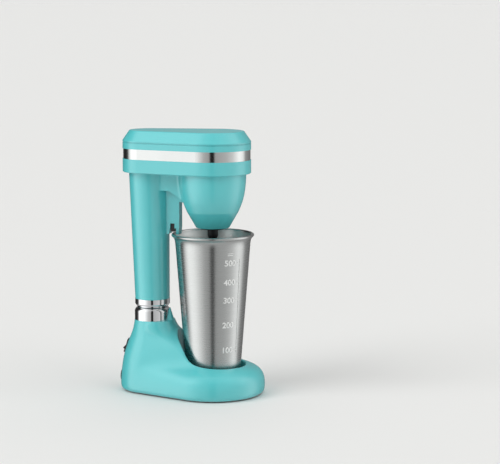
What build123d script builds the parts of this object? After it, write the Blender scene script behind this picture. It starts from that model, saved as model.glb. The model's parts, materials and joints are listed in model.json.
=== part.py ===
from build123d import *
import math
import os

os.makedirs("parts", exist_ok=True)

# Milkshake mixer, millimetres. +Z is up, -Y is the front where the cup stands, and the origin is
# the middle of the footprint on the table. "ahead" is a distance in front of the post's axis.

# ---------------------------------------------------------------- driving dimensions
HEIGHT = 300.0              # table to the top of the head, head lowered
CUP_AHEAD = 72.8            # cup and spindle axis, ahead of the post's axis
REAR = 37.5                 # rearmost point of the base, behind the post's axis
TOE_RADIUS = 59.3           # widest radius of the toe about the cup's axis
POST_Y = (CUP_AHEAD + TOE_RADIUS - REAR) / 2
CUP_Y = POST_Y - CUP_AHEAD
LIFT = 128.0                # travel of the head up the post
RUN = 0.05                  # radial clearance of a running fit
GAP = 0.3                   # clearance beside parts that only pass each other

# base
SHELL_WALL = 3.0
SHELL_BOTTOM = 1.5          # the feet lift the shell by this much
NECK_TOP = 82.0             # shell's top face, under the collar
COLLAR_RADIUS = 20.5
COLLAR_TOP = 96.5
RECESS_FLOOR = 15.0
RECESS_RADIUS = 35.0        # at the floor
RECESS_SLOPE = 0.1          # radius gained for each millimetre of height
LIP_ROUND = 2.0
PLATE_TOP = 4.0             # bottom plate's upper face
PAD_TOP = 18.0              # what the cup stands on

# post
POST_WIDTH = 27.0           # across X
POST_DEPTH = 28.0           # along Y
POST_CORNER = 8.0
POST_WALL = 2.0
POST_BOTTOM = 22.0
BUSH_TOP = 111.0            # bush in the sleeve's lower end, head lowered
GUIDE_LENGTH = 14.0         # post's top guide, which runs in the sleeve's bore
GUIDE_SPACING = 31.0        # guide over bush, head raised
POST_TOP = BUSH_TOP + LIFT + GUIDE_SPACING + GUIDE_LENGTH
BORE = 17.5                 # sleeve's bore

# sleeve
SLEEVE_BOTTOM = 106.5
RING_BOTTOM = 97.2
SLEEVE_RADIUS = 19.8        # at the bottom
SLEEVE_TOP_RADIUS = 23.0
SLEEVE_LEAN = 3.0           # the top of the sleeve is this much further back
KEY_MIDDLE = 120.0          # height of the release key and of the catch behind it

# head
RIM_BOTTOM = 252.4
BAND_BOTTOM = 267.8
BAND_TOP = 279.4
GROOVE_BOTTOM = 286.0
CHAMFER_BOTTOM = 288.5
CHAMFER_IN = 8.0
NOSE_RADIUS = 43.5
TAIL_RADIUS = 31.0
TAIL_AHEAD = -2.0
HEAD_WALL = 2.6
BOWL_RADIUS = 38.0
BOWL_BOTTOM = 190.8
CONE_TOP = 209.0            # crease between the plain cone and the rounded bowl
CONE_TOP_RADIUS = 29.4
MOTOR_BOTTOM = 224.0        # laminations of the stator and the armature
MOTOR_TOP = 244.0
SHAFT_RADIUS = 2.5

# cup hook and its switch
HOOK_BACK = 17.0            # ahead of the post's axis, inside the sleeve's wall
HOOK_FRONT = 34.6
HOOK_HALF_WIDTH = 5.5
WEB_HALF_WIDTH = 15.0
WEB_BOTTOM = 232.0          # where the web leaves the sleeve
WEB_DROP = 13.0             # its underside falls by this much towards the bowl
WEB_ROUND = 6.0
MOUTH_BACK = 23.2           # the rim sits in this mouth
MOUTH_FRONT = 30.8
MOUTH_TOP = 188.5
SLOT_TOP = 194.0            # the plunger's slot above the mouth
PLUNGER_AHEAD = 26.3
PLUNGER_DEPTH = 4.6
PLUNGER_WIDTH = 7.0
PRESS = 2.5                 # how far the cup's rim pushes the plunger up
BUTTON_BOTTOM = 258.6       # microswitch's own button, above the plunger

# cup
CUP_HEIGHT = 166.0
CUP_TOP_RADIUS = 42.6       # where the wall meets the flare under the rim
CUP_BOTTOM_RADIUS = 31.0
CUP_WALL = 0.9
RIM_RADIUS = 45.0           # centre of the rolled rim
RIM_BEAD = 1.8
CUP_RIM_TOP = PAD_TOP + CUP_HEIGHT

# agitator
DISC_BOTTOM = 88.0
DISC_RADIUS = 9.3
ROD_RADIUS = 2.0
COUPLER_TOP = 189.0
COUPLER_BOTTOM = 157.5


# ---------------------------------------------------------------- helpers
def at(ahead):
    """Y of a place that lies this far ahead of the post's axis."""
    return POST_Y - ahead


def cylinder(radius, bottom, top, x=0.0, y=0.0):
    body = Cylinder(radius, top - bottom, align=(Align.CENTER, Align.CENTER, Align.MIN))
    return Pos(x, y, bottom) * body


def tube(outer, inner, bottom, top, x=0.0, y=0.0):
    return cylinder(outer, bottom, top, x, y) - cylinder(inner, bottom - 1, top + 1, x, y)


def block(x0, x1, y0, y1, z0, z1):
    body = Box(x1 - x0, y1 - y0, z1 - z0)
    return Pos((x0 + x1) / 2, (y0 + y1) / 2, (z0 + z1) / 2) * body


def turned(points, y=0.0):
    """Solid of revolution about the vertical line at (0, y); points are (radius, height)."""
    profile = Plane.XZ * make_face(Polyline(*points, close=True))
    return Pos(0, y, 0) * revolve(profile, Axis.Z)


def egg(z, front_ahead, front_radius, tail_ahead, tail_radius):
    """Flat outline round two circles on the middle line, joined by their tangents."""
    front_y = at(front_ahead)
    tail_y = at(tail_ahead)
    lean = (front_radius - tail_radius) / (tail_y - front_y)
    side = math.sqrt(1 - lean * lean)
    front_x, front_edge = front_radius * side, front_y + front_radius * lean
    tail_x, tail_edge = tail_radius * side, tail_y + tail_radius * lean
    wire = Wire([
        Line((front_x, front_edge), (tail_x, tail_edge)),
        ThreePointArc((tail_x, tail_edge), (0, tail_y + tail_radius), (-tail_x, tail_edge)),
        Line((-tail_x, tail_edge), (-front_x, front_edge)),
        ThreePointArc((-front_x, front_edge), (0, front_y - front_radius), (front_x, front_edge)),
    ])
    return Pos(0, 0, z) * Face(wire)


def head_plan(z, inset=0.0):
    """Outline of the head seen from above, drawn in by an even amount."""
    return egg(z, CUP_AHEAD, NOSE_RADIUS - inset, TAIL_AHEAD, TAIL_RADIUS - inset)


def head_slab(bottom, top, inset=0.0):
    return extrude(head_plan(bottom, inset), top - bottom)


def post_section(grow=0.0):
    return Pos(0, POST_Y, 0) * RectangleRounded(
        POST_WIDTH + 2 * grow, POST_DEPTH + 2 * grow, POST_CORNER + grow)


def post_bar(bottom, top, grow=0.0):
    return extrude(Pos(0, 0, bottom) * post_section(grow), top - bottom)


def screw(x, y, seat, length, radius=1.5, head_radius=3.0, head_height=1.8, up=True):
    """Pan-head screw whose head bears on the height called seat."""
    if up:
        head = cylinder(head_radius, seat - head_height, seat, x, y)
        shank = cylinder(radius, seat, seat + length, x, y)
    else:
        head = cylinder(head_radius, seat, seat + head_height, x, y)
        shank = cylinder(radius, seat - length, seat, x, y)
    return head + shank


# ---------------------------------------------------------------- base
# Sections of the boot: height, tail radius, front centre ahead, front radius.
BOOT = [
    (SHELL_BOTTOM, 34.2, CUP_AHEAD, 56.0),
    (4.0, 36.4, CUP_AHEAD, 58.3),
    (10.0, 37.0, CUP_AHEAD, TOE_RADIUS),
    (18.0, 36.5, CUP_AHEAD, 58.6),
    (25.5, 35.8, CUP_AHEAD, 55.0),
    (31.0, 35.0, 71.0, 48.5),
    (36.0, 34.2, 63.0, 40.8),
    (44.0, 32.2, 51.0, 35.0),
    (56.0, 28.2, 36.5, 30.3),
    (69.0, 23.2, 11.5, 24.6),
    (NECK_TOP, 20.6, 5.0, 21.0),
]
# The boot rises to a thin crest in front of the collar, through circles: height, centre ahead, radius.
PROW = [(74.0, 14.0, 16.5), (NECK_TOP, 19.6, 6.2), (COLLAR_TOP - 0.5, 19.6, 1.9)]

FEET = [(-19.0, 0.0), (19.0, 0.0), (-36.0, 98.0), (36.0, 98.0)]
PLATE_SCREWS = [(-26.0, 25.0), (26.0, 25.0), (-46.0, 62.0), (46.0, 62.0)]
FLANGE_SCREWS = [(-16.3, -16.3), (16.3, -16.3), (-16.3, 16.3), (16.3, 16.3)]


def boot(inset=0.0, drop=0.0):
    """The boot's outer form, or its hollow when inset and dropped."""
    return loft([egg(z - drop, ahead, front - inset, 0.0, tail - inset)
                 for z, tail, ahead, front in BOOT])


def prow():
    return loft([Pos(0, at(ahead), z) * Circle(radius) for z, ahead, radius in PROW], ruled=True)


def recess_cone(grow, bottom, top):
    low = RECESS_RADIUS + grow + RECESS_SLOPE * (bottom - RECESS_FLOOR)
    high = RECESS_RADIUS + grow + RECESS_SLOPE * (top - RECESS_FLOOR)
    return turned([(0, bottom), (low, bottom), (high, top), (0, top)], CUP_Y)


def plate_screws():
    return [screw(x, at(ahead), PLATE_TOP - 1.2, 9.0) for x, ahead in PLATE_SCREWS]


def flange_screws():
    return [screw(x, at(ahead), POST_BOTTOM, 10.0) for x, ahead in FLANGE_SCREWS]


def on_recess_lip(edge):
    """True for an edge that runs round the mouth of the cup's recess."""
    for share in (0.0, 0.3, 0.7):
        point = edge @ share
        wall = RECESS_RADIUS + RECESS_SLOPE * (point.Z - RECESS_FLOOR)
        if point.Z < 20 or abs(math.hypot(point.X, point.Y - CUP_Y) - wall) > 0.05:
            return False
    return True


def base_shell():
    outer = boot() + prow()
    hollow = boot(SHELL_WALL, SHELL_WALL) & block(-80, 80, -120, 120, -20, NECK_TOP - SHELL_WALL)
    shell = outer - hollow
    wall = recess_cone(2.5, RECESS_FLOOR - 2.5, 92.0) & outer
    tower = cylinder(21.0, POST_BOTTOM + 4, NECK_TOP - 1, 0, POST_Y)
    foot = cylinder(26.0, POST_BOTTOM + 4, POST_BOTTOM + 14, 0, POST_Y)
    shell += (tower + foot) & outer
    shell += wall
    for x, ahead in PLATE_SCREWS:
        shell += cylinder(4.0, PLATE_TOP, 70.0, x, at(ahead)) & outer
    shell -= recess_cone(0.0, RECESS_FLOOR, 120.0)
    shell = fillet(shell.edges().filter_by(on_recess_lip), LIP_ROUND)
    shell -= post_bar(0, NECK_TOP + 1, 0.2)
    shell -= cylinder(COLLAR_RADIUS + 0.1, NECK_TOP, 130, 0, POST_Y)
    shell -= block(-70, 70, -100, 100, -5, SHELL_BOTTOM)
    for fastener in plate_screws() + flange_screws():
        shell -= fastener
    shell -= switch_frame() * block(-4.9, 4.9, -7.4, 7.4, -9.0, 12.0)
    shell -= switch_frame() * bezel_plate(12.0)
    shell -= gland_axis() * (cylinder(5.5, -8, 8) + cylinder(7.2, 3.6, 12))
    return shell


def base_bottom_plate():
    plate = extrude(egg(SHELL_BOTTOM, CUP_AHEAD, 54.9, 0.0, 33.0), PLATE_TOP - SHELL_BOTTOM)
    for x, ahead in FEET:
        plate -= cylinder(6.0, 0, SHELL_BOTTOM + 1.5, x, at(ahead))
    for fastener in plate_screws():
        plate -= fastener
    return plate


def base_ballast():
    """Steel weight that keeps the mixer from tipping; it lies under the cup's recess."""
    weight = cylinder(44.0, PLATE_TOP, PLATE_TOP + 7.0, 0, CUP_Y)
    for x, ahead in PLATE_SCREWS:
        weight -= cylinder(4.5, 0, 30, x, at(ahead))
    return weight


def rubber_feet():
    return Compound(children=[cylinder(6.0, 0, SHELL_BOTTOM + 1.5, x, at(a)) for x, a in FEET])


def cup_seat_pad():
    """Soft ring on the floor of the recess."""
    return tube(29.0, 14.0, RECESS_FLOOR, PAD_TOP, 0, CUP_Y)


def base_collar():
    """Bright turned collar: a straight skirt and a domed top."""
    skirt = COLLAR_RADIUS
    with BuildPart() as collar:
        with BuildSketch(Plane.XZ):
            with BuildLine():
                Line((17.2, NECK_TOP), (skirt, NECK_TOP))
                Line((skirt, NECK_TOP), (skirt, 90.5))
                ThreePointArc((skirt, 90.5), (19.6, 94.4), (17.2, COLLAR_TOP))
                Line((17.2, COLLAR_TOP), (17.2, NECK_TOP))
            make_face()
        revolve(axis=Axis.Z)
    return Pos(0, POST_Y, 0) * collar.part


# ---------------------------------------------------------------- post
def inner_post():
    post = post_bar(POST_BOTTOM, POST_TOP) - post_bar(0, 300, -POST_WALL)
    post -= catch_axis() * cylinder(CATCH_RADIUS + RUN, -POST_WALL - 1, 3)
    return post


def post_flange():
    """Plate welded to the foot of the post and screwed up under the shell's tower."""
    flange = cylinder(26.0, POST_BOTTOM, POST_BOTTOM + 4, 0, POST_Y) - post_bar(0, 60)
    for fastener in flange_screws():
        flange -= fastener
    return flange


def post_top_guide():
    """Plastic collar on the post's top that runs in the sleeve's bore."""
    guide = cylinder(BORE - RUN, POST_TOP - GUIDE_LENGTH, POST_TOP + 2, 0, POST_Y)
    guide -= post_bar(0, POST_TOP)
    return guide - cylinder(8.5, 200, 320, 0, POST_Y)


CATCH_RADIUS = 5.5
CATCH_HEIGHT = KEY_MIDDLE + 1.5
CATCH_PROUD = 1.4
CATCH_TRAVEL = 1.3


def catch_axis():
    """Frame on the post's +X face, its Z pointing out of the face."""
    return Location((POST_WIDTH / 2, POST_Y, CATCH_HEIGHT), (0, 90, 0))


def catch_button():
    stem = cylinder(CATCH_RADIUS, -POST_WALL - 0.4, CATCH_PROUD)
    stem = chamfer(stem.edges().sort_by(Axis.Z)[-1], 0.6)
    flange = cylinder(CATCH_RADIUS + 1.0, -POST_WALL - 1.6, -POST_WALL - 0.1)
    return catch_axis() * (stem + flange)


def catch_spring():
    """Bent leaf behind the catch, clipped inside the post."""
    depth = -POST_WALL - 1.6 - CATCH_TRAVEL - 0.4
    leaf = block(-16, 16, -3, 3, depth - 0.5, depth)
    leg = block(-16, -15.4, -3, 3, depth, -POST_WALL)
    other = block(15.4, 16, -3, 3, depth, -POST_WALL)
    return catch_axis() * (leaf + leg + other)


def coiled_lead():
    """Outer form of the curly lead that follows the head up inside the post."""
    return tube(4.6, 2.0, 44.0, POST_TOP + 6, -3.5, POST_Y)


# ---------------------------------------------------------------- power switch and cord inlet
SWITCH_HEIGHT = 50.0
SWITCH_TILT = 20.0
SWITCH_BEHIND = 30.2
ROCKER_PIN_DEPTH = 1.0
ROCKER_TILT = 9.0           # half of the rocker's travel


def switch_frame():
    """Frame on the heel's rear face: its Z points out and up, its Y up along the face."""
    tilt = math.radians(SWITCH_TILT)
    place = Plane(origin=(0, POST_Y + SWITCH_BEHIND, SWITCH_HEIGHT), x_dir=(-1, 0, 0),
                  z_dir=(0, math.cos(tilt), math.sin(tilt)))
    return place.location


def bezel_plate(top):
    plate = block(-6.2, 6.2, -8.7, 8.7, -1.4, top)
    return fillet(plate.edges().filter_by(Axis.Z), 1.5)


def rocker_pin(radius, half_length):
    return Pos(0, 0, -ROCKER_PIN_DEPTH) * Rot(0, 90, 0) * Cylinder(radius, 2 * half_length)


def switch_bezel():
    rim = bezel_plate(1.0)
    body = block(-4.9, 4.9, -7.4, 7.4, -8.0, 0)
    well = block(-4.1, 4.1, -6.6, 6.6, -7.0, 3.0)
    return switch_frame() * ((rim + body) - well - rocker_pin(0.85, 4.7))


def power_rocker():
    """Rocker with a shallow V of two faces, on a pin across its middle."""
    with BuildPart() as rocker:
        with BuildSketch(Plane.YZ):
            Polygon((-6.2, 1.0), (-5.4, 2.9), (0, 1.3), (5.4, 2.9), (6.2, 1.0),
                    (4.0, -3.2), (0, -4.2), (-4.0, -3.2), align=None)
        extrude(amount=3.9, both=True)
    tip = Pos(0, 0, -ROCKER_PIN_DEPTH) * Rot(-ROCKER_TILT, 0, 0) * Pos(0, 0, ROCKER_PIN_DEPTH)
    return switch_frame() * (tip * rocker.part + rocker_pin(0.8, 4.5))


def gland_axis():
    """Frame on the base's rear face, low down, its Z pointing backwards."""
    return Location((0, POST_Y + 33.0, 14.0), (-90, 0, 0))


def cord_gland():
    """Flush bushing where the mains lead enters the base."""
    barrel = cylinder(5.5, -5.0, 4.0)
    lip = cylinder(7.2, 3.6, REAR - 33.0)
    lip -= cylinder(3.3, 0, 8)
    return gland_axis() * ((barrel - cylinder(3.3, -8, 8)) + lip)


def terminal_block():
    """Screw terminals between the mains lead, the switch and the coiled lead."""
    body = block(-12, 12, at(12) - 5, at(12) + 5, PLATE_TOP, PLATE_TOP + 9)
    for x in (-8, 0, 8):
        body -= cylinder(2.0, PLATE_TOP + 5, 20, x, at(12))
    return body


# ---------------------------------------------------------------- head housing
def bowl_solid(inset=0.0, bottom=BOWL_BOTTOM):
    """Motor bowl: a rounded bowl over a plain cone, or its hollow when inset."""
    with BuildPart() as bowl:
        with BuildSketch(Plane.XZ):
            with BuildLine():
                crease = CONE_TOP_RADIUS - inset
                Line((0, bottom), (19.0 - inset, bottom))
                Line((19.0 - inset, bottom), (crease, CONE_TOP))
                Spline((crease, CONE_TOP), (33.6 - inset, 219.5), (36.8 - inset, 234.0),
                       (BOWL_RADIUS - inset, 250.0), tangents=((0.42, 1.0), (0.02, 1.0)))
                Line((BOWL_RADIUS - inset, 250.0), (BOWL_RADIUS - inset, 256.0))
                Line((BOWL_RADIUS - inset, 256.0), (0, 256.0))
                Line((0, 256.0), (0, bottom))
            make_face()
        revolve(axis=Axis.Z)
    return Pos(0, CUP_Y, 0) * bowl.part


def sleeve_solid():
    """Outside of the sleeve: its rear line leans back as it rises, its front line stays upright."""
    low = Pos(0, POST_Y, SLEEVE_BOTTOM) * Circle(SLEEVE_RADIUS)
    high = Pos(0, POST_Y + SLEEVE_LEAN, RIM_BOTTOM + 1) * Circle(SLEEVE_TOP_RADIUS)
    return loft([low, high])


def web_solid():
    """Broad web between the sleeve and the bowl; its underside falls towards the bowl."""
    profile = Polyline(
        (at(10), WEB_BOTTOM + 0.5), (at(26), WEB_BOTTOM), (at(46), WEB_BOTTOM - WEB_DROP),
        (at(46), RIM_BOTTOM + 2), (at(10), RIM_BOTTOM + 2), close=True)
    return extrude(Plane.YZ * make_face(profile), WEB_HALF_WIDTH, both=True)


def on_web_seam(edge):
    """True for an edge where the side of the web meets the bowl or the sleeve."""
    middle = edge @ 0.5
    beside = abs(middle.X) > WEB_HALF_WIDTH - 0.5 and 8 < POST_Y - middle.Y < 42
    return beside and middle.Z < RIM_BOTTOM and edge.geom_type != GeomType.LINE


def bowl_on_sleeve():
    """Bowl and sleeve joined by the web, with rounded seams."""
    body = bowl_solid() + sleeve_solid() + web_solid()
    return fillet(body.edges().filter_by(on_web_seam), WEB_ROUND)


def hook_solid():
    """Cup hook under the web: a leg behind the rim, and a tongue inside the cup."""
    slot_back = PLUNGER_AHEAD - PLUNGER_DEPTH / 2 - GAP
    slot_front = PLUNGER_AHEAD + PLUNGER_DEPTH / 2 + GAP
    with BuildPart() as hook:
        with BuildSketch(Plane.YZ):
            with BuildLine():
                Polyline((at(HOOK_BACK), 245), (at(HOOK_BACK), 182.0), (at(MOUTH_BACK - 1), 182.0),
                         (at(MOUTH_BACK), MOUTH_TOP), (at(slot_back), MOUTH_TOP),
                         (at(slot_back), SLOT_TOP), (at(slot_front), SLOT_TOP),
                         (at(slot_front), MOUTH_TOP), (at(MOUTH_FRONT), MOUTH_TOP),
                         (at(MOUTH_FRONT), 181.5), (at(HOOK_FRONT - 0.8), 181.5),
                         (at(HOOK_FRONT), 190.0), (at(HOOK_FRONT), 219), (at(46), 217),
                         (at(46), 245), close=True)
            make_face()
        extrude(amount=HOOK_HALF_WIDTH, both=True)
    return hook.part


def plunger_channel(grow):
    half_depth = PLUNGER_DEPTH / 2 + grow
    half_width = PLUNGER_WIDTH / 2 + grow
    y = at(PLUNGER_AHEAD)
    return block(-half_width, half_width, y - half_depth, y + half_depth, SLOT_TOP - 1, 262)


COVER_SCREWS = [(-28.0, 25.0), (28.0, 25.0)]
MOTOR_SCREWS = [(-28.5, CUP_AHEAD), (28.5, CUP_AHEAD)]
BRACKET_BOTTOM = 259.5


def cover_screws_list():
    return [screw(x, at(a), RIM_BOTTOM + 1.6, 22.0) for x, a in COVER_SCREWS]


def motor_screws_list():
    return [screw(x, at(a), BRACKET_BOTTOM + 3, 12.0, up=False) for x, a in MOTOR_SCREWS]


def head_housing():
    floor_top = RIM_BOTTOM + 2.6
    house = head_slab(RIM_BOTTOM, BAND_BOTTOM)
    house = chamfer(house.edges().group_by(Axis.Z)[0], 0.8)
    house += bowl_on_sleeve() + hook_solid()
    house -= head_slab(floor_top, BAND_BOTTOM + 1, HEAD_WALL)
    for x, ahead in COVER_SCREWS:
        house += cylinder(4.2, RIM_BOTTOM + 0.2, BAND_BOTTOM, x, at(ahead))
    house += cylinder(BORE + 2.3, floor_top - 2, POST_TOP + 4, 0, POST_Y)
    house -= bowl_solid(HEAD_WALL, BOWL_BOTTOM + 2.6)
    house -= cylinder(BOWL_RADIUS - HEAD_WALL, 250, BAND_BOTTOM + 1, 0, CUP_Y)
    for x, ahead in MOTOR_SCREWS:
        boss = cylinder(4.0, 246, BRACKET_BOTTOM, x, at(ahead))
        rib = block(min(x, x * 1.28), max(x, x * 1.28), at(ahead) - 2, at(ahead) + 2, 246, 258)
        house += boss + rib
    house -= cylinder(BORE, 90, 300, 0, POST_Y)
    house -= cylinder(9.5, 180, 205, 0, CUP_Y)
    house += tube(9.5, 6.0, 203.0, 211.0, 0, CUP_Y)
    house += tube(28.0, 9.0, 203.0, 205.0, 0, CUP_Y) & bowl_solid(1.0)
    house += tube(36.0, 25.0, 221.0, MOTOR_BOTTOM, 0, CUP_Y) & bowl_solid(1.0)
    house -= plunger_channel(GAP)
    house -= block(SLEEVE_RADIUS - 6, 30, POST_Y - 1.15, POST_Y + 1.15,
                   KEY_MIDDLE - 6.65, KEY_MIDDLE + 6.65)
    for fastener in cover_screws_list() + motor_screws_list():
        house -= fastener
    return house


def head_band():
    """Bright steel band let in between the cover and the housing."""
    return head_slab(BAND_BOTTOM, BAND_TOP, 0.7) - head_slab(BAND_BOTTOM - 1, BAND_TOP + 1, 1.7)


def head_top_cover():
    body = head_slab(BAND_TOP, CHAMFER_BOTTOM)
    crown = loft([head_plan(CHAMFER_BOTTOM), head_plan(HEIGHT, CHAMFER_IN)], ruled=True)
    body += crown
    body = fillet(body.edges().group_by(Axis.Z)[-1], 2.0)
    body += head_slab(BAND_BOTTOM, BAND_TOP, 1.7)
    body -= head_slab(BAND_BOTTOM - 1, CHAMFER_BOTTOM - 1, 1.7 + 2.0)
    hollow_plans = [head_plan(CHAMFER_BOTTOM - 1.1, 3.7), head_plan(HEIGHT - HEAD_WALL, 10.5)]
    body -= loft(hollow_plans, ruled=True)
    for x, ahead in COVER_SCREWS:
        body += cylinder(4.2, BAND_BOTTOM, CHAMFER_BOTTOM - 1, x, at(ahead))
    body -= head_slab(GROOVE_BOTTOM, GROOVE_BOTTOM + 1.2) - head_slab(GROOVE_BOTTOM - 1, 290, 0.8)
    for fastener in cover_screws_list():
        body -= fastener
    return body


def sleeve_ring():
    """Bright ferrule on the sleeve's end, tapering in towards the waist."""
    with BuildPart() as ring:
        with BuildSketch(Plane.XZ):
            with BuildLine():
                Polyline((17.1, RING_BOTTOM), (17.6, RING_BOTTOM), (19.4, 99.6), (20.0, 100.6),
                         (20.0, SLEEVE_BOTTOM), (BORE, SLEEVE_BOTTOM), (BORE, 99.0),
                         (17.1, 98.6), close=True)
            make_face()
        revolve(axis=Axis.Z)
    return Pos(0, POST_Y, 0) * ring.part


def sleeve_bush():
    """Bearing bush in the sleeve's end, with a channel that clears the catch."""
    bush = cylinder(BORE, 99.4, BUSH_TOP, 0, POST_Y) - post_bar(90, 130, RUN)
    return bush - block(POST_WIDTH / 2 - 2, 30, POST_Y - 6.2, POST_Y + 6.2, 90, 120)


def release_key():
    """Narrow key in the sleeve's side; pressed, it bears on the catch behind it."""
    blade = block(16.8, SLEEVE_RADIUS + 0.45, POST_Y - 0.9, POST_Y + 0.9,
                  KEY_MIDDLE - 6.4, KEY_MIDDLE + 6.4)
    pad = block(16.2, 17.0, POST_Y - 2.6, POST_Y + 2.6, KEY_MIDDLE - 7.6, KEY_MIDDLE + 7.6)
    return blade + pad


# ---------------------------------------------------------------- motor
ARMATURE_RADIUS = 13.4
POLE_BORE = 14.0
COMMUTATOR_BOTTOM = 250.5
COMMUTATOR_TOP = 258.5
COMMUTATOR_RADIUS = 8.0


def half_turn(shape):
    """The shape turned half a turn about the spindle."""
    return Pos(0, CUP_Y, 0) * Rot(0, 0, 180) * Pos(0, -CUP_Y, 0) * shape


def both_sides(shape):
    return Compound(children=[shape, half_turn(shape)])


def motor_stator():
    yoke = tube(27.0, 22.0, MOTOR_BOTTOM, MOTOR_TOP, 0, CUP_Y)
    pole = block(-7.0, 7.0, CUP_Y + 12.5, CUP_Y + 23, MOTOR_BOTTOM, MOTOR_TOP)
    shoe = (tube(16.2, POLE_BORE, MOTOR_BOTTOM, MOTOR_TOP, 0, CUP_Y)
            & block(-11, 11, CUP_Y, CUP_Y + 20, MOTOR_BOTTOM, MOTOR_TOP))
    half = (pole - cylinder(POLE_BORE, 200, 260, 0, CUP_Y)) + shoe
    return yoke + half + half_turn(half)


def field_coils():
    coil = block(-10.5, 10.5, CUP_Y + 16.4, CUP_Y + 19.1, MOTOR_BOTTOM - 2.8, MOTOR_TOP + 4)
    coil = fillet(coil.edges().filter_by(Axis.Y), 1.2)
    coil -= block(-7.0, 7.0, CUP_Y + 10, CUP_Y + 25, MOTOR_BOTTOM, MOTOR_TOP)
    return both_sides(coil)


def motor_shaft():
    return cylinder(SHAFT_RADIUS, 180.0, 282.0, 0, CUP_Y)


def armature_core():
    core = tube(ARMATURE_RADIUS, SHAFT_RADIUS, MOTOR_BOTTOM, MOTOR_TOP, 0, CUP_Y)
    for index in range(12):
        slot = block(-0.9, 0.9, 8.0, 16.0, 200, 260)
        core -= Pos(0, CUP_Y, 0) * Rot(0, 0, 30 * index) * slot
    return core


def winding_end(bottom, top, outer_end):
    """End turns of the armature; outer_end is 0 to round the lower rim and -1 the upper one."""
    ring = tube(11.6, SHAFT_RADIUS, bottom, top, 0, CUP_Y)
    rims = ring.edges().filter_by(GeomType.CIRCLE).group_by(Axis.Z)[outer_end]
    return fillet(rims.sort_by(SortBy.LENGTH)[-1], 2.0)


def armature_windings():
    low = winding_end(MOTOR_BOTTOM - 4.5, MOTOR_BOTTOM, 0)
    high = winding_end(MOTOR_TOP, MOTOR_TOP + 4.5, -1)
    return Compound(children=[low, high])


def commutator():
    drum = tube(COMMUTATOR_RADIUS, SHAFT_RADIUS, COMMUTATOR_BOTTOM, COMMUTATOR_TOP, 0, CUP_Y)
    for index in range(12):
        slot = block(-0.25, 0.25, COMMUTATOR_RADIUS - 0.8, COMMUTATOR_RADIUS + 1, 240, 270)
        drum -= Pos(0, CUP_Y, 0) * Rot(0, 0, 30 * index + 15) * slot
    return drum


def carbon_brushes():
    brush = block(7.0, 17.0, CUP_Y - 2.4, CUP_Y + 2.4, 251.6, 257.4)
    return both_sides(brush - cylinder(COMMUTATOR_RADIUS + 0.08, 240, 270, 0, CUP_Y))


def brush_holders():
    holder = block(9.6, 21.0, CUP_Y - 3.8, CUP_Y + 3.8, 250.2, BRACKET_BOTTOM)
    return both_sides(holder - block(9.0, 20.0, CUP_Y - 2.4, CUP_Y + 2.4, 251.6, 257.4))


def brush_springs():
    """Folded leaves that push the brushes in."""
    leaf = block(17.0, 17.4, CUP_Y - 2, CUP_Y + 2, 252, 257)
    back = block(19.6, 20.0, CUP_Y - 2, CUP_Y + 2, 252, 257)
    fold = block(17.0, 20.0, CUP_Y - 2, CUP_Y + 2, 256.6, 257)
    return both_sides(leaf + back + fold)


def motor_bracket():
    """Bridge over the commutator; it carries the upper bearing and the brush holders."""
    bridge = block(-33, 33, CUP_Y - 9, CUP_Y + 9, BRACKET_BOTTOM, BRACKET_BOTTOM + 3)
    bridge &= cylinder(33.5, 250, 270, 0, CUP_Y)
    hub = cylinder(11.0, BRACKET_BOTTOM, 268.5, 0, CUP_Y)
    bracket = bridge + hub
    bracket -= cylinder(8.0, 262.0, 268.5, 0, CUP_Y)
    bracket -= cylinder(4.0, 250, 270, 0, CUP_Y)
    for fastener in motor_screws_list():
        bracket -= fastener
    return bracket


def upper_bearing():
    return tube(8.0, SHAFT_RADIUS + 0.02, 262.0, 267.5, 0, CUP_Y)


def lower_bearing():
    return tube(6.0, SHAFT_RADIUS + 0.02, 203.0, 212.0, 0, CUP_Y)


def cooling_fan():
    fan = tube(19.5, SHAFT_RADIUS, 272.0, 273.4, 0, CUP_Y)
    fan += tube(5.0, SHAFT_RADIUS, 272.0, 281.0, 0, CUP_Y)
    blade = Pos(0, 11.5, 0) * Rot(0, 0, 18) * block(-0.6, 0.6, -7, 7, 273.0, 279.5)
    for index in range(9):
        fan += Pos(0, CUP_Y, 0) * Rot(0, 0, 40 * index) * blade
    return fan


def shaft_seal():
    """Rubber seal that closes the cone's outlet round the shaft."""
    lip_bottom = BOWL_BOTTOM - 1.8
    body = tube(9.5, SHAFT_RADIUS + GAP, lip_bottom, 200.0, 0, CUP_Y)
    lip = tube(13.5, 7.4, lip_bottom, BOWL_BOTTOM, 0, CUP_Y)
    return body - cylinder(7.4, lip_bottom - 1, BOWL_BOTTOM, 0, CUP_Y) + lip


# ---------------------------------------------------------------- agitator
def drive_coupler():
    """Black tapered grip that joins the rod to the motor's shaft."""
    body = turned([(0, COUPLER_BOTTOM), (3.4, COUPLER_BOTTOM), (4.2, 163), (4.6, 178),
                   (6.0, 182), (6.0, COUPLER_TOP), (0, COUPLER_TOP)], CUP_Y)
    body -= cylinder(SHAFT_RADIUS, 180, 200, 0, CUP_Y)
    return body - cylinder(ROD_RADIUS, 150, 179, 0, CUP_Y)


def agitator_rod():
    return cylinder(ROD_RADIUS, DISC_BOTTOM + 0.6, 179.0, 0, CUP_Y)


def agitator_disc():
    """Small mixing disc with a wavy ring of slots and a hub."""
    disc = cylinder(DISC_RADIUS, DISC_BOTTOM + 0.6, DISC_BOTTOM + 2.2, 0, CUP_Y)
    disc += cylinder(3.6, DISC_BOTTOM, DISC_BOTTOM + 5.5, 0, CUP_Y)
    for index in range(6):
        disc -= Pos(0, CUP_Y, 0) * Rot(0, 0, 60 * index) * cylinder(1.3, 80, 100, 0, 6.3)
    return disc - cylinder(ROD_RADIUS, DISC_BOTTOM + 0.6, 120, 0, CUP_Y)


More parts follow.
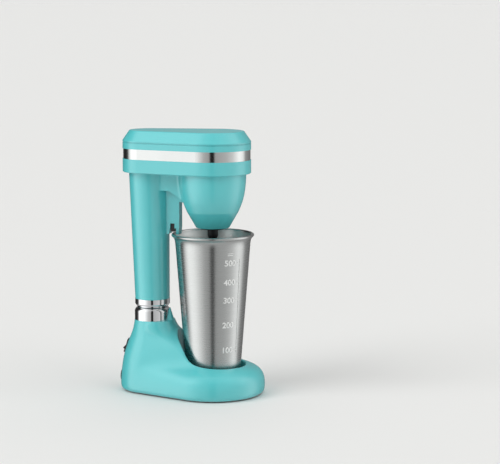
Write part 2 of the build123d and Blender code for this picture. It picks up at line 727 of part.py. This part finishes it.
# ---------------------------------------------------------------- cup switch
PLUNGER_TIP = CUP_RIM_TOP + GAP
PLUNGER_TOP = BUTTON_BOTTOM - PRESS - 0.5


def switch_plunger():
    """Black plunger in the hook; the cup's rim pushes it up."""
    y = at(PLUNGER_AHEAD)
    half = PLUNGER_DEPTH / 2
    bar = block(-PLUNGER_WIDTH / 2, PLUNGER_WIDTH / 2, y - half, y + half, PLUNGER_TIP, PLUNGER_TOP)
    bar = chamfer(bar.edges().group_by(Axis.Z)[0].filter_by(Axis.X), 1.0)
    return bar + block(-5.5, 5.5, y - half, y + half, PLUNGER_TOP - 0.4, PLUNGER_TOP)


def microswitch():
    y = at(PLUNGER_AHEAD)
    body = block(-10, 10, y - 3.2, y + 3.2, 260.0, 269.5)
    button = cylinder(1.2, BUTTON_BOTTOM, 260.0, 0, y)
    legs = block(-12.5, -10, y - 1, y + 1, RIM_BOTTOM + 2.6, 266)
    other = block(10, 12.5, y - 1, y + 1, RIM_BOTTOM + 2.6, 266)
    return body + button + legs + other


# ---------------------------------------------------------------- cup
def cup():
    """Tapered drawn cup with a flared mouth, a rolled rim and a rounded foot."""
    foot = PAD_TOP
    wall = CUP_WALL
    flare = foot + CUP_HEIGHT - 12.0
    bead = foot + CUP_HEIGHT - RIM_BEAD
    with BuildPart() as body:
        with BuildSketch(Plane.XZ):
            with BuildLine():
                Line((0, foot), (CUP_BOTTOM_RADIUS - 4, foot))
                ThreePointArc((CUP_BOTTOM_RADIUS - 4, foot), (CUP_BOTTOM_RADIUS - 1.1, foot + 1.4),
                              (CUP_BOTTOM_RADIUS, foot + 4.3))
                Line((CUP_BOTTOM_RADIUS, foot + 4.3), (CUP_TOP_RADIUS, flare))
                ThreePointArc((CUP_TOP_RADIUS, flare), (CUP_TOP_RADIUS + 0.8, flare + 5.6),
                              (RIM_RADIUS, bead))
                Line((RIM_RADIUS, bead), (RIM_RADIUS - wall, bead))
                ThreePointArc((RIM_RADIUS - wall, bead), (CUP_TOP_RADIUS + 0.8 - wall, flare + 5.7),
                              (CUP_TOP_RADIUS - wall, flare))
                Line((CUP_TOP_RADIUS - wall, flare), (CUP_BOTTOM_RADIUS - wall, foot + 4.5))
                ThreePointArc((CUP_BOTTOM_RADIUS - wall, foot + 4.5),
                              (CUP_BOTTOM_RADIUS - wall - 1.0, foot + 2.1),
                              (CUP_BOTTOM_RADIUS - 4.2, foot + wall))
                Line((CUP_BOTTOM_RADIUS - 4.2, foot + wall), (0, foot + wall))
                Line((0, foot + wall), (0, foot))
            make_face()
        revolve(axis=Axis.Z)
    bead_ring = Pos(0, 0, bead) * Torus(RIM_RADIUS, RIM_BEAD)
    return Pos(0, CUP_Y, 0) * (body.part + bead_ring)


# ---------------------------------------------------------------- write the parts
PARTS = {
    "base_shell": base_shell,
    "base_bottom_plate": base_bottom_plate,
    "base_ballast": base_ballast,
    "rubber_feet": rubber_feet,
    "bottom_screws": lambda: Compound(children=plate_screws()),
    "cup_seat_pad": cup_seat_pad,
    "base_collar": base_collar,
    "inner_post": inner_post,
    "post_flange": post_flange,
    "post_screws": lambda: Compound(children=flange_screws()),
    "post_top_guide": post_top_guide,
    "catch_button": catch_button,
    "catch_spring": catch_spring,
    "coiled_lead": coiled_lead,
    "switch_bezel": switch_bezel,
    "power_rocker": power_rocker,
    "cord_gland": cord_gland,
    "terminal_block": terminal_block,
    "head_housing": head_housing,
    "head_band": head_band,
    "head_top_cover": head_top_cover,
    "cover_screws": lambda: Compound(children=cover_screws_list()),
    "sleeve_ring": sleeve_ring,
    "sleeve_bush": sleeve_bush,
    "release_key": release_key,
    "motor_stator": motor_stator,
    "field_coils": field_coils,
    "motor_shaft": motor_shaft,
    "armature_core": armature_core,
    "armature_windings": armature_windings,
    "commutator": commutator,
    "carbon_brushes": carbon_brushes,
    "brush_holders": brush_holders,
    "brush_springs": brush_springs,
    "motor_bracket": motor_bracket,
    "motor_screws": lambda: Compound(children=motor_screws_list()),
    "upper_bearing": upper_bearing,
    "lower_bearing": lower_bearing,
    "cooling_fan": cooling_fan,
    "shaft_seal": shaft_seal,
    "drive_coupler": drive_coupler,
    "agitator_rod": agitator_rod,
    "agitator_disc": agitator_disc,
    "switch_plunger": switch_plunger,
    "microswitch": microswitch,
    "cup": cup,
}

for name, make in PARTS.items():
    export_step(make(), f"parts/{name}.step")
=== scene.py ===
import json
import math

import bmesh
import bpy
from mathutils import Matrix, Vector


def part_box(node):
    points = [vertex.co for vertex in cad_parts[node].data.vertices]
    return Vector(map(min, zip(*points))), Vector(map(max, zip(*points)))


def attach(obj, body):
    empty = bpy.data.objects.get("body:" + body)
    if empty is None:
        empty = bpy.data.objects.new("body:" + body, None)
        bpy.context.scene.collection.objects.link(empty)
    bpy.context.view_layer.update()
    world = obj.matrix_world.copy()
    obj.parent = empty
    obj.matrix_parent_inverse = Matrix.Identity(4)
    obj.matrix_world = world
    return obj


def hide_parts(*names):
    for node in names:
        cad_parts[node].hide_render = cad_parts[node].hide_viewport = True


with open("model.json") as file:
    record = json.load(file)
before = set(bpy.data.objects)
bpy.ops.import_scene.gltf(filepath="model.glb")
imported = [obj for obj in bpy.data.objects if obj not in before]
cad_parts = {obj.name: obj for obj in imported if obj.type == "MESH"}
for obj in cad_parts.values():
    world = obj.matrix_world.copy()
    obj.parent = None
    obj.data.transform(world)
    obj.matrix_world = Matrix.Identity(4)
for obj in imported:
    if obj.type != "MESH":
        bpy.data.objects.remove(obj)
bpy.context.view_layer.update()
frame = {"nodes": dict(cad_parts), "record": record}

MM = 0.001
NODES = frame["nodes"]
VIEW_TURN = 288                 # the photo's viewing direction, in degrees of azimuth

cup_low, cup_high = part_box("cup")
CUP_AXIS = Vector(((cup_low.x + cup_high.x) / 2, (cup_low.y + cup_high.y) / 2, 0))


# ------------------------------------------------------------------ node helpers
class Shader:
    """A material under construction: its node tree, its Principled node and short ways to add to them."""

    def __init__(self, name, **sockets):
        self.material = bpy.data.materials.new(name)
        self.material.use_nodes = True
        self.tree = self.material.node_tree
        self.body = self.tree.nodes["Principled BSDF"]
        for socket, value in sockets.items():
            self.body.inputs[socket.replace("_", " ")].default_value = value

    def node(self, kind, inputs=None, **settings):
        made = self.tree.nodes.new(kind)
        for key, value in settings.items():
            setattr(made, key, value)
        for key, value in (inputs or {}).items():
            self.feed(made.inputs[key], value)
        return made

    def feed(self, socket, value):
        """Links an output to the socket, or sets a plain value on it."""
        if isinstance(value, bpy.types.NodeSocket):
            self.tree.links.new(value, socket)
        else:
            socket.default_value = value

    def place(self):
        return self.node("ShaderNodeTexCoord").outputs["Object"]

    def stretched(self, scale):
        """The piece's own coordinates in millimetres, stretched by scale."""
        inputs = {"Vector": self.place(), "Scale": [s / MM for s in scale]}
        return self.node("ShaderNodeMapping", inputs).outputs["Vector"]

    def round_axis(self, around_share, fineness):
        """Coordinates that follow the turn about the piece's upright axis, and its radius and height."""
        axes = self.node("ShaderNodeSeparateXYZ", {"Vector": self.place()}).outputs
        turn = self.math("ARCTAN2", axes["Y"], axes["X"])
        x2 = self.math("MULTIPLY", axes["X"], axes["X"])
        y2 = self.math("MULTIPLY", axes["Y"], axes["Y"])
        radius = self.math("SQRT", self.math("ADD", x2, y2))
        return self.node("ShaderNodeCombineXYZ", {
            "X": self.math("MULTIPLY", turn, around_share),
            "Y": self.math("MULTIPLY", radius, fineness / MM),
            "Z": self.math("MULTIPLY", axes["Z"], fineness / MM)}).outputs["Vector"]

    def noise(self, vector, detail=2.0, roughness=0.5):
        inputs = {"Vector": vector, "Scale": 1.0, "Detail": detail, "Roughness": roughness}
        return self.node("ShaderNodeTexNoise", inputs).outputs["Fac"]

    def span(self, value, low, high, source=(0.3, 0.7)):
        """Value from the source range carried over to low..high."""
        inputs = {"Value": value, "From Min": source[0], "From Max": source[1],
                  "To Min": low, "To Max": high}
        return self.node("ShaderNodeMapRange", inputs).outputs["Result"]

    def mix(self, factor, first, second):
        made = self.node("ShaderNodeMix", data_type="RGBA")
        self.feed(made.inputs["Factor"], factor)
        self.feed(made.inputs["A"], first)
        self.feed(made.inputs["B"], second)
        return made.outputs["Result"]

    def math(self, operation, first, second=0.0):
        made = self.node("ShaderNodeMath", operation=operation)
        self.feed(made.inputs[0], first)
        self.feed(made.inputs[1], second)
        return made.outputs["Value"]

    def bump(self, height, strength, depth_mm):
        inputs = {"Height": height, "Strength": strength, "Distance": depth_mm * MM}
        normal = self.node("ShaderNodeBump", inputs).outputs["Normal"]
        self.feed(self.body.inputs["Normal"], normal)


def colour(red, green, blue):
    """Opaque linear colour."""
    return (red, green, blue, 1.0)


def tinted(base, share):
    """The colour made lighter or darker by a share."""
    return tuple(c * share for c in base[:3]) + (1.0,)


# ------------------------------------------------------------------ materials
TEAL = colour(0.100, 0.580, 0.608)
BLACK = colour(0.012, 0.012, 0.013)
STEEL = colour(0.635, 0.650, 0.640)


def moulded(name, base, gloss, grain_mm, grain_depth, variation=0.04, shine=0.5, coat=0.0):
    """Moulded plastic: fine orange peel, slow drift of colour, and handling marks in the gloss."""
    s = Shader(name, IOR=1.49, Specular_IOR_Level=shine, Coat_Weight=coat, Coat_Roughness=0.16)
    slow = s.noise(s.stretched((0.018, 0.018, 0.018)), detail=3.0)
    s.feed(s.body.inputs["Base Color"],
           s.mix(slow, tinted(base, 1 - variation), tinted(base, 1 + variation)))
    smudge = s.noise(s.stretched((0.05, 0.05, 0.028)), detail=3.0)
    s.feed(s.body.inputs["Roughness"], s.span(smudge, gloss - 0.025, gloss + 0.035, (0.0, 1.0)))
    fine = 1.0 / grain_mm
    peel = s.noise(s.stretched((fine, fine, fine)), detail=2.0)
    s.bump(peel, 0.5, grain_depth)
    return s.material


def rubber(name, base):
    """Matt black rubber with a fine speckle."""
    s = Shader(name, IOR=1.45)
    speckle = s.noise(s.stretched((2.2, 2.2, 2.2)), detail=3.0)
    s.feed(s.body.inputs["Base Color"],
           s.mix(s.span(speckle, 0.0, 1.0), tinted(base, 0.8), tinted(base, 1.3)))
    s.feed(s.body.inputs["Roughness"], s.span(speckle, 0.62, 0.78))
    s.bump(speckle, 0.4, 0.05)
    return s.material


def metal(name, base, gloss, stretch, depth_mm, drift=0.06, swing=0.06, metallic=1.0):
    """Bare metal with a directional grain; stretch gives the grain's fineness along each axis."""
    s = Shader(name, Metallic=metallic)
    grain = s.noise(s.stretched(stretch), detail=4.0, roughness=0.65)
    cloud = s.noise(s.stretched((0.03, 0.03, 0.03)), detail=3.0)
    shade = s.math("ADD", s.math("MULTIPLY", grain, 0.6), s.math("MULTIPLY", cloud, 0.4))
    s.feed(s.body.inputs["Base Color"],
           s.mix(s.span(shade, 0.0, 1.0), tinted(base, 1 - drift), tinted(base, 1 + drift)))
    s.feed(s.body.inputs["Roughness"], s.span(grain, gloss - swing / 2, gloss + swing / 2))
    s.bump(grain, 0.35, depth_mm)
    return s.material


def spun_steel(name, base, gloss, blur):
    """Sheet steel spun and brushed on a lathe: the scratches run round the piece's own upright axis."""
    s = Shader(name, Metallic=1.0, Anisotropic=blur, Anisotropic_Rotation=0.25)
    scratches = s.noise(s.round_axis(1.6, 4.0), detail=5.0, roughness=0.7)
    bands = s.noise(s.round_axis(0.7, 0.25), detail=3.0)
    shade = s.math("ADD", s.math("MULTIPLY", scratches, 0.6), s.math("MULTIPLY", bands, 0.4))
    s.feed(s.body.inputs["Base Color"],
           s.mix(s.span(shade, 0.0, 1.0), tinted(base, 0.96), tinted(base, 1.04)))
    s.feed(s.body.inputs["Roughness"], s.span(scratches, gloss - 0.03, gloss + 0.03))
    tangent = s.node("ShaderNodeTangent", direction_type="RADIAL", axis="Z").outputs["Tangent"]
    s.feed(s.body.inputs["Tangent"], tangent)
    s.bump(scratches, 0.14, 0.006)
    return s.material


MATERIALS = {
    "teal_plastic": moulded("teal_plastic", TEAL, 0.25, 0.55, 0.005, shine=1.0, coat=0.35),
    "black_plastic": moulded("black_plastic", BLACK, 0.36, 0.35, 0.012),
    "white_plastic": moulded("white_plastic", colour(0.72, 0.72, 0.69), 0.42, 0.6, 0.01),
    "rubber": rubber("rubber", colour(0.016, 0.016, 0.017)),
    "chrome": metal("chrome", colour(0.80, 0.81, 0.82), 0.06, (0.4, 0.4, 0.4), 0.0015,
                    drift=0.02, swing=0.03),
    "brushed_steel": metal("brushed_steel", STEEL, 0.13, (0.35, 0.35, 9.0), 0.003),
    "steel": metal("steel", colour(0.50, 0.50, 0.51), 0.34, (1.4, 1.4, 1.4), 0.01),
    "copper": metal("copper", colour(0.72, 0.33, 0.17), 0.30, (1.0, 1.0, 4.0), 0.02),
    "bronze": metal("bronze", colour(0.55, 0.37, 0.17), 0.40, (2.5, 2.5, 2.5), 0.01),
    "carbon": moulded("carbon", colour(0.03, 0.03, 0.03), 0.55, 0.25, 0.02),
}
CUP_STEEL = spun_steel("cup_steel", tinted(STEEL, 0.80), 0.27, 0.7)
# Pale, half-metallic steel for the cup's raised marks: a painted highlight that stands in for the light
# the embossed figures catch.
MARK_HIGHLIGHT_STEEL = metal("mark_highlight_steel", colour(0.86, 0.87, 0.86), 0.42, (1.5, 1.5, 1.5), 0.01,
                     metallic=0.4)
CUP_INSIDE = spun_steel("cup_inside", tinted(STEEL, 1.12), 0.36, 0.3)

for part in frame["record"]["subparts"]:
    node = NODES[part["node"]]
    node.data.materials.clear()
    node.data.materials.append(MATERIALS[part["material_slot"]])


# ------------------------------------------------------------------ mesh helpers
def mesh_object(bm, name):
    """Turns a bmesh into an object in the scene."""
    mesh = bpy.data.meshes.new(name)
    bm.to_mesh(mesh)
    bm.free()
    made = bpy.data.objects.new(name, mesh)
    bpy.context.collection.objects.link(made)
    return made


def cup_piece(bm, name, *materials):
    """Turns a bmesh made about the cup's axis into a smooth steel piece that rides on the cup."""
    piece = mesh_object(bm, name)
    piece.location = CUP_AXIS
    for material in materials:
        piece.data.materials.append(material)
    piece.data.shade_smooth()
    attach(piece, "cup")
    return piece


def lathe(profile, steps):
    """Closed surface of revolution about the piece's own Z; a profile point on the axis closes it."""
    bm = bmesh.new()
    rings = []
    for radius, height in profile:
        if radius < 1e-9:
            rings.append([bm.verts.new((0, 0, height))])
            continue
        rings.append([bm.verts.new((radius * math.cos(2 * math.pi * i / steps),
                                    radius * math.sin(2 * math.pi * i / steps), height))
                      for i in range(steps)])
    for lower, upper in zip(rings, rings[1:]):
        for i in range(steps):
            j = (i + 1) % steps
            if len(lower) == 1:
                bm.faces.new((lower[0], upper[j], upper[i]))
            elif len(upper) == 1:
                bm.faces.new((lower[i], lower[j], upper[0]))
            else:
                bm.faces.new((lower[i], lower[j], upper[j], upper[i]))
    bmesh.ops.recalc_face_normals(bm, faces=bm.faces)
    return bm


def arc(centre_r, centre_z, radius, start_deg, end_deg, steps):
    """Points on a circle arc in the profile plane."""
    found = []
    for i in range(steps + 1):
        a = math.radians(start_deg + (end_deg - start_deg) * i / steps)
        found.append((centre_r + radius * math.cos(a), centre_z + radius * math.sin(a)))
    return found


# ------------------------------------------------------------------ the cup
CUP_FOOT = cup_low.z
CUP_TOP = cup_high.z
RIM_BEAD = 1.8 * MM
RIM_CENTRE = (cup_high.x - cup_low.x) / 2 - RIM_BEAD
FOOT_RADIUS = 31.0 * MM
FOOT_CORNER = 4.2 * MM
MOUTH_RADIUS = 42.6 * MM
SHEET = 0.9 * MM
WALL_BOTTOM = CUP_FOOT + FOOT_CORNER
FLARE = CUP_TOP - 12.0 * MM     # where the wall turns outwards under the rim
WALL_SHARES = (0.02, 0.2, 0.4, 0.6, 0.8, 1.0)
CUP_STEPS = 160
INSIDE_FLOOR_TOP = CUP_FOOT + 8 * MM


def wall_radius(z):
    """Outer radius of the cup's straight wall at a height."""
    return FOOT_RADIUS + (MOUTH_RADIUS - FOOT_RADIUS) * (z - WALL_BOTTOM) / (FLARE - WALL_BOTTOM)


def wall_line(inset):
    """The straight wall from the foot to the flare, moved inwards by the inset."""
    heights = [WALL_BOTTOM + (FLARE - WALL_BOTTOM) * share for share in WALL_SHARES]
    return [(wall_radius(z) - inset, z) for z in heights]


def cup_profile():
    """From the middle of the underside, up the outside, over the rolled rim and down the inside."""
    dish = CUP_FOOT + 0.9 * MM
    points = [(0.0, dish), (FOOT_RADIUS - 9.5 * MM, dish),
              (FOOT_RADIUS - 7.5 * MM, CUP_FOOT + 0.6 * MM), (FOOT_RADIUS - 6.3 * MM, CUP_FOOT)]
    points += arc(FOOT_RADIUS - FOOT_CORNER, WALL_BOTTOM, FOOT_CORNER, -90, -4.5, 8)
    points += wall_line(0.0)
    for share, out in ((0.2, 0.10), (0.4, 0.35), (0.55, 0.62)):
        points.append((MOUTH_RADIUS + (RIM_CENTRE - MOUTH_RADIUS) * out,
                       FLARE + (CUP_TOP - FLARE) * share))
    points += arc(RIM_CENTRE, CUP_TOP - RIM_BEAD, RIM_BEAD, -75, 185, 18)
    points += [(MOUTH_RADIUS + 0.9 * MM - SHEET, FLARE + 6.2 * MM),
               (MOUTH_RADIUS + 0.1 * MM - SHEET, FLARE + 2.0 * MM)]
    points += reversed(wall_line(SHEET))
    points += arc(FOOT_RADIUS - FOOT_CORNER, WALL_BOTTOM, FOOT_CORNER - SHEET, -4.5, -90, 8)
    points += [(FOOT_RADIUS * 0.5, CUP_FOOT + SHEET * 1.7), (0.0, CUP_FOOT + SHEET * 1.9)]
    return points


def is_inside(face):
    """Whether a face of the cup is on the inner wall or the inner floor."""
    if face.normal.z > 0.5 and face.center.z < INSIDE_FLOOR_TOP:
        return True
    inward = face.normal.x * face.center.x + face.normal.y * face.center.y < 0
    return inward and face.center.z < CUP_TOP - 2 * RIM_BEAD


steel_cup = cup_piece(lathe(cup_profile(), CUP_STEPS), "steel_cup", CUP_STEEL, CUP_INSIDE)
for face in steel_cup.data.polygons:
    face.material_index = 1 if is_inside(face) else 0
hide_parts("cup")

# ------------------------------------------------------------------ the cup's raised measures
MARK_AZIMUTH = math.radians(VIEW_TURN + 27)
MARKS = ((500, 154.5), (400, 132.5), (300, 112.0), (200, 83.5), (100, 54.5))
MARK_RISE = 0.5 * MM
MARK_SINK = 0.05 * MM           # how far a mark's back is inside the cup's wall
MARK_HEIGHT = 9.2 * MM
MARK_SHARP = math.radians(35)   # edges of the marks that stay crisp
LINE_ASIDE = 13.0 * MM          # the upright line's left side, from the middle of the numbers
LINE_WIDTH = 0.6 * MM
LINE_PAST = 4.0                 # the line goes on by this past the end marks
TICK_LENGTH = 3.0 * MM
HEADER_BARS = (163.6, 165.6)    # heights of the two short bars over the numbers
HEADER_HALF = (3.6 * MM, 0.4 * MM)


def wrapped(bm, middle_z):
    """Lays a flat raised mark (x across, y up, z out) round the cup's wall."""
    for v in bm.verts:
        z = middle_z + v.co.y
        radius = wall_radius(z) - MARK_SINK + v.co.z
        turn = MARK_AZIMUTH - math.pi / 2 + v.co.x / wall_radius(z)
        v.co = Vector((radius * math.cos(turn), radius * math.sin(turn), z))


def number_mesh(text):
    """Flat raised figures."""
    curve = bpy.data.curves.new("number", "FONT")
    curve.body = text
    curve.size = MARK_HEIGHT
    curve.align_x = "CENTER"
    curve.align_y = "CENTER"
    curve.extrude = MARK_RISE / 2
    curve.offset = 0.12 * MM
    curve.bevel_depth = 0.08 * MM
    curve.bevel_resolution = 1
    curve.resolution_u = 4
    holder = bpy.data.objects.new("number", curve)
    bpy.context.collection.objects.link(holder)
    mesh = bpy.data.meshes.new_from_object(
        holder.evaluated_get(bpy.context.evaluated_depsgraph_get()))
    bpy.data.objects.remove(holder)
    bpy.data.curves.remove(curve)
    bm = bmesh.new()
    bm.from_mesh(mesh)
    bpy.data.meshes.remove(mesh)
    bmesh.ops.remove_doubles(bm, verts=bm.verts, dist=0.005 * MM)
    bmesh.ops.triangulate(bm, faces=bm.faces)
    for v in bm.verts:
        v.co.z += MARK_RISE / 2
    return bm


def bar_mesh(left, right, low, high):
    """Flat raised bar with a drawn-in top, cut into short lengths so that it can bend."""
    bm = bmesh.new()
    across = max(2, int((right - left) / (1.5 * MM)) + 1)
    up = max(2, int((high - low) / (3 * MM)) + 1)

    def sheet(inset, rise):
        return [bm.verts.new((left + inset + (right - left - 2 * inset) * i / (across - 1),
                              low + inset + (high - low - 2 * inset) * j / (up - 1), rise))
                for j in range(up) for i in range(across)]

    base = sheet(0.0, 0.0)
    top = sheet(0.12 * MM, MARK_RISE)
    for j in range(up - 1):
        for i in range(across - 1):
            k = j * across + i
            bm.faces.new((top[k], top[k + 1], top[k + across + 1], top[k + across]))
            bm.faces.new((base[k + across], base[k + across + 1], base[k + 1], base[k]))
    edge = list(range(across))
    edge += [j * across + across - 1 for j in range(1, up)]
    edge += [(up - 1) * across + i for i in range(across - 2, -1, -1)]
    edge += [j * across for j in range(up - 2, 0, -1)]
    for a, b in zip(edge, edge[1:] + edge[:1]):
        bm.faces.new((base[a], base[b], top[b], top[a]))
    return bm


def measures():
    """Every mark on the cup in one bmesh."""
    joined = bmesh.new()

    def add(bm, middle_z):
        wrapped(bm, middle_z)
        held = bpy.data.meshes.new("held")
        bm.to_mesh(held)
        bm.free()
        joined.from_mesh(held)
        bpy.data.meshes.remove(held)

    for number, z_mm in MARKS:
        add(number_mesh(str(number)), z_mm * MM)
        add(bar_mesh(LINE_ASIDE - TICK_LENGTH, LINE_ASIDE, -LINE_WIDTH / 2, LINE_WIDTH / 2), z_mm * MM)
    half_across, half_up = HEADER_HALF
    for z_mm in HEADER_BARS:
        add(bar_mesh(-half_across, half_across, -half_up, half_up), z_mm * MM)
    line_low, line_high = (MARKS[-1][1] - LINE_PAST) * MM, (MARKS[0][1] + LINE_PAST) * MM
    half_line = (line_high - line_low) / 2
    add(bar_mesh(LINE_ASIDE, LINE_ASIDE + LINE_WIDTH, -half_line, half_line), line_low + half_line)
    bmesh.ops.recalc_face_normals(joined, faces=joined.faces)
    return joined


# The marks wear the pale steel above, a painted highlight on the embossed figures.
cup_measures = cup_piece(measures(), "cup_measures", MARK_HIGHLIGHT_STEEL)
cup_measures.data.set_sharp_from_angle(angle=MARK_SHARP)

# ------------------------------------------------------------------ floor, light and camera
VIEW_AZIMUTH = math.radians(VIEW_TURN)
VIEW_DISTANCE = 1.96
VIEW_HEIGHT = 0.447
AIM_HEIGHT = 0.184
AIM_ASIDE = 0.0667
LENS = 125.1
SENSOR_WIDTH = 36.0
VIEW_FAR = 400
LAMP_DISTANCE = 3.0
FLOOR_HALF = 150
PAPER = colour(0.80, 0.80, 0.79)


def around(azimuth, distance, height):
    """Point at an azimuth counted as the camera's is, from the middle of the mixer."""
    return Vector((math.sin(azimuth) * distance, -math.cos(azimuth) * distance, height))


PICTURE_RIGHT = Vector((math.cos(VIEW_AZIMUTH), math.sin(VIEW_AZIMUTH), 0))

camera_data = bpy.data.cameras.new("camera")
camera_data.lens = LENS
camera_data.sensor_width = SENSOR_WIDTH
camera = bpy.data.objects.new("camera", camera_data)
bpy.context.collection.objects.link(camera)
camera.location = around(VIEW_AZIMUTH, VIEW_DISTANCE, VIEW_HEIGHT)
aim = PICTURE_RIGHT * AIM_ASIDE
aim.z = AIM_HEIGHT
camera.rotation_euler = (aim - camera.location).to_track_quat("-Z", "Y").to_euler()
camera_data.clip_end = VIEW_FAR
bpy.context.scene.camera = camera


def soft_sun(name, turn_deg, height_deg, strength, spread_deg):
    """Wide soft light from far away; a positive turn is to the camera's right."""
    data = bpy.data.lights.new(name, "SUN")
    data.energy = strength
    data.angle = math.radians(spread_deg)
    lamp = bpy.data.objects.new(name, data)
    rise = math.radians(height_deg)
    lamp.location = around(VIEW_AZIMUTH + math.radians(turn_deg),
                           LAMP_DISTANCE * math.cos(rise), LAMP_DISTANCE * math.sin(rise))
    lamp.rotation_euler = (-lamp.location).to_track_quat("-Z", "Y").to_euler()
    lamp.visible_glossy = False
    bpy.context.collection.objects.link(lamp)


soft_sun("key_left", -62, 38, 1.35, 40)
soft_sun("fill_right", 62, 42, 0.72, 50)
soft_sun("top", 170, 70, 0.55, 60)

# Studio seen in reflections, as brightness by the angle turned from the camera, left to right.
REFLECTED = (
    (-180, 0.30), (-155, 0.05), (-125, 0.02), (-110, 0.10), (-96, 1.20), (-84, 1.75), (-64, 1.60),
    (-42, 1.00), (-28, 0.62), (-11, 0.46), (-8, 0.01), (3, 0.01), (7, 0.50), (40, 0.62),
    (62, 0.85), (88, 1.45), (104, 1.20), (118, 0.40), (140, 0.25), (160, 0.20), (180, 0.30),
)
RAMP_TOP = 2.0                  # brightness that the ramp's white stands for
PANEL_MIDDLE = 0.15             # direction height of the softboxes' middle
PANEL_FADE = (0.45, 0.95)       # they fade out between these distances above and below it
CEILING = colour(0.30, 0.30, 0.30)
AMBIENT = 0.60


def build_world():
    """Even pale light on everything, a paper backdrop, and softboxes seen only in reflections."""
    world = bpy.data.worlds.new("studio")
    bpy.context.scene.world = world
    world.use_nodes = True
    tree = world.node_tree
    tree.nodes.clear()

    def feed(socket, value):
        if isinstance(value, bpy.types.NodeSocket):
            tree.links.new(value, socket)
        else:
            socket.default_value = value

    def add(kind, inputs=None, **settings):
        made = tree.nodes.new(kind)
        for key, value in settings.items():
            setattr(made, key, value)
        for key, value in (inputs or {}).items():
            feed(made.inputs[key], value)
        return made

    def calc(operation, first, second=0.0):
        return add("ShaderNodeMath", {0: first, 1: second}, operation=operation).outputs["Value"]

    def along(axis):
        """How far the looked-at direction goes along a level axis."""
        return calc("ADD", calc("MULTIPLY", axes["X"], axis.x), calc("MULTIPLY", axes["Y"], axis.y))

    def light(shade, strength):
        inputs = {"Color": shade, "Strength": strength}
        return add("ShaderNodeBackground", inputs).outputs["Background"]

    def chosen(factor, first, second):
        return add("ShaderNodeMixShader", {0: factor, 1: first, 2: second}).outputs["Shader"]

    direction = add("ShaderNodeTexCoord").outputs["Generated"]
    axes = add("ShaderNodeSeparateXYZ", {"Vector": direction}).outputs
    turn = calc("ARCTAN2", along(PICTURE_RIGHT), along(around(VIEW_AZIMUTH, 1.0, 0.0)))
    share = calc("ADD", calc("DIVIDE", turn, 2 * math.pi), 0.5)
    ramp = add("ShaderNodeValToRGB", {"Fac": share})
    steps = ramp.color_ramp.elements
    while len(steps) > 1:
        steps.remove(steps[-1])
    for index, (angle, brightness) in enumerate(REFLECTED):
        place = angle / 360 + 0.5
        step = steps[0] if index == 0 else steps.new(place)
        step.position = place
        step.color = colour(*[brightness / RAMP_TOP] * 3)
    off_middle = calc("ABSOLUTE", calc("SUBTRACT", axes["Z"], PANEL_MIDDLE))
    fade = add("ShaderNodeMapRange", {"Value": off_middle, "From Min": PANEL_FADE[0],
                                      "From Max": PANEL_FADE[1], "To Min": 0.0, "To Max": 1.0},
               interpolation_type="SMOOTHSTEP").outputs["Result"]
    studio = add("ShaderNodeMix", data_type="RGBA")
    feed(studio.inputs["Factor"], fade)
    feed(studio.inputs["A"], ramp.outputs["Color"])
    feed(studio.inputs["B"], CEILING)

    path = add("ShaderNodeLightPath").outputs
    lit = chosen(path["Is Glossy Ray"], light(PAPER, AMBIENT), light(studio.outputs["Result"], RAMP_TOP))
    seen = chosen(path["Is Camera Ray"], lit, light(PAPER, 1.0))
    add("ShaderNodeOutputWorld", {"Surface": seen})


build_world()

floor_grid = bmesh.new()
bmesh.ops.create_grid(floor_grid, x_segments=2, y_segments=2, size=FLOOR_HALF)
floor = mesh_object(floor_grid, "floor")
floor.data.materials.append(Shader("floor_paper", Base_Color=PAPER, Roughness=0.7).material)
floor.visible_glossy = False

bpy.context.scene.view_settings.view_transform = "Standard"
